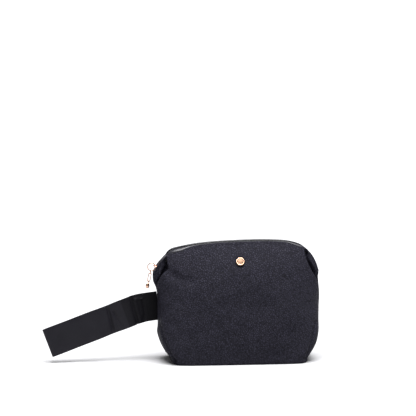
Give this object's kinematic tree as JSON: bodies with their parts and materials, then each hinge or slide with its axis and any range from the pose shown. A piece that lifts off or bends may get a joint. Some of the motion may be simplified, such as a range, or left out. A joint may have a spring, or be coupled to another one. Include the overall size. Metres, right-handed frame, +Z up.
{
  "type": "makeup bag",
  "caption": "Soft pebbled makeup bag with a boxed base, a zip over the top and down both ends, a chain puller, a domed stud and a folded wrist strap.",
  "frame": {"origin": "centre of the underside of the base", "axes": "+X towards the zip's open end, away from the strap; -Y is the front, with the stud; +Z up"},
  "size_m": [0.2887, 0.075, 0.1262],
  "materials": {
    "pebbled_leather": "matte coated leather with a fine pebble grain",
    "lining": "plain woven lining",
    "board": "plain stiffening board",
    "zip_tape": "woven tape",
    "zip_coil": "moulded coil",
    "rose_gold": "polished rose gold plate",
    "steel": "plain pressed metal",
    "satin_webbing": "smooth tightly woven band"
  },
  "bodies": {
    "shell": {"base_panel": "pebbled_leather", "base_board": "board", "base_lining": "lining", "front_panel": "pebbled_leather", "back_panel": "pebbled_leather", "front_lining": "lining", "back_lining": "lining", "left_zip_tail_tape": "zip_tape", "right_zip_tail_tape": "zip_tape", "left_zip_tail_teeth": "zip_coil", "right_zip_tail_teeth": "zip_coil", "zip_top_stop": "steel", "zip_bottom_stop": "steel", "strap_root": "satin_webbing"},
    "front_mouth": {"front_mouth_panel": "pebbled_leather", "front_mouth_lining": "lining", "front_zip_tape": "zip_tape", "front_zip_teeth": "zip_coil", "stud_cap": "rose_gold", "stud_washer": "steel"},
    "back_mouth": {"back_mouth_panel": "pebbled_leather", "back_mouth_lining": "lining", "back_zip_tape": "zip_tape", "back_zip_teeth": "zip_coil"},
    "slider": {"zip_slider": "rose_gold"},
    "ring": {"pull_ring": "rose_gold"},
    "jump_link": {"pull_link": "rose_gold"},
    "long_link": {"pull_long_link": "rose_gold"},
    "drop": {"pull_drop": "rose_gold"},
    "strap_inner": {"strap_front_ply": "satin_webbing", "strap_back_ply": "satin_webbing"},
    "strap_outer": {"strap_loop_end": "satin_webbing"}
  },
  "joints": [
    {"name": "zip_run", "type": "hinge", "parent": "shell", "child": "slider", "pos_m": [-0.00129, 0, 0.06288], "axis": [0, 1, 0], "range_deg": [0, 132.5], "deforming": ["left_zip_tail_teeth", "right_zip_tail_teeth", "left_zip_tail_tape", "right_zip_tail_tape"]},
    {"name": "front_mouth_open", "type": "hinge", "parent": "shell", "child": "front_mouth", "pos_m": [0, -0.0339, 0.086], "axis": [1, 0, 0], "range_deg": [0, 40]},
    {"name": "back_mouth_open", "type": "hinge", "parent": "shell", "child": "back_mouth", "pos_m": [0, 0.0339, 0.086], "axis": [-1, 0, 0], "range_deg": [0, 40]},
    {"name": "pull_ring_swing", "type": "hinge", "parent": "slider", "child": "ring", "pos_m": [-0.08795, 0, 0.10048], "axis": [0, 1, 0], "range_deg": [0, 118]},
    {"name": "jump_link_swing", "type": "hinge", "parent": "ring", "child": "jump_link", "pos_m": [-0.09096, 0, 0.0957], "axis": [0.9781, 0, -0.2079], "range_deg": [-50, 50]},
    {"name": "long_link_swing", "type": "hinge", "parent": "jump_link", "child": "long_link", "pos_m": [-0.0917, 0, 0.09223], "axis": [0, 1, 0], "range_deg": [-12, 45]},
    {"name": "drop_swing", "type": "hinge", "parent": "long_link", "child": "drop", "pos_m": [-0.09335, 0, 0.08445], "axis": [0.9781, 0, -0.2079], "range_deg": [-50, 50]},
    {"name": "strap_swing", "type": "hinge", "parent": "shell", "child": "strap_inner", "pos_m": [-0.09, 0, 0.0578], "axis": [0, 0, 1], "range_deg": [-80, 80]},
    {"name": "strap_fold", "type": "hinge", "parent": "strap_inner", "child": "strap_outer", "pos_m": [-0.13487, 0, 0.04435], "axis": [-0.3486, 0, 0.9373], "range_deg": [-80, 80]}
  ],
  "couplings": [
    {"joint": "front_mouth_open", "follows": "zip_run", "ratio": 0.3018},
    {"joint": "back_mouth_open", "follows": "zip_run", "ratio": 0.3018}
  ]
}
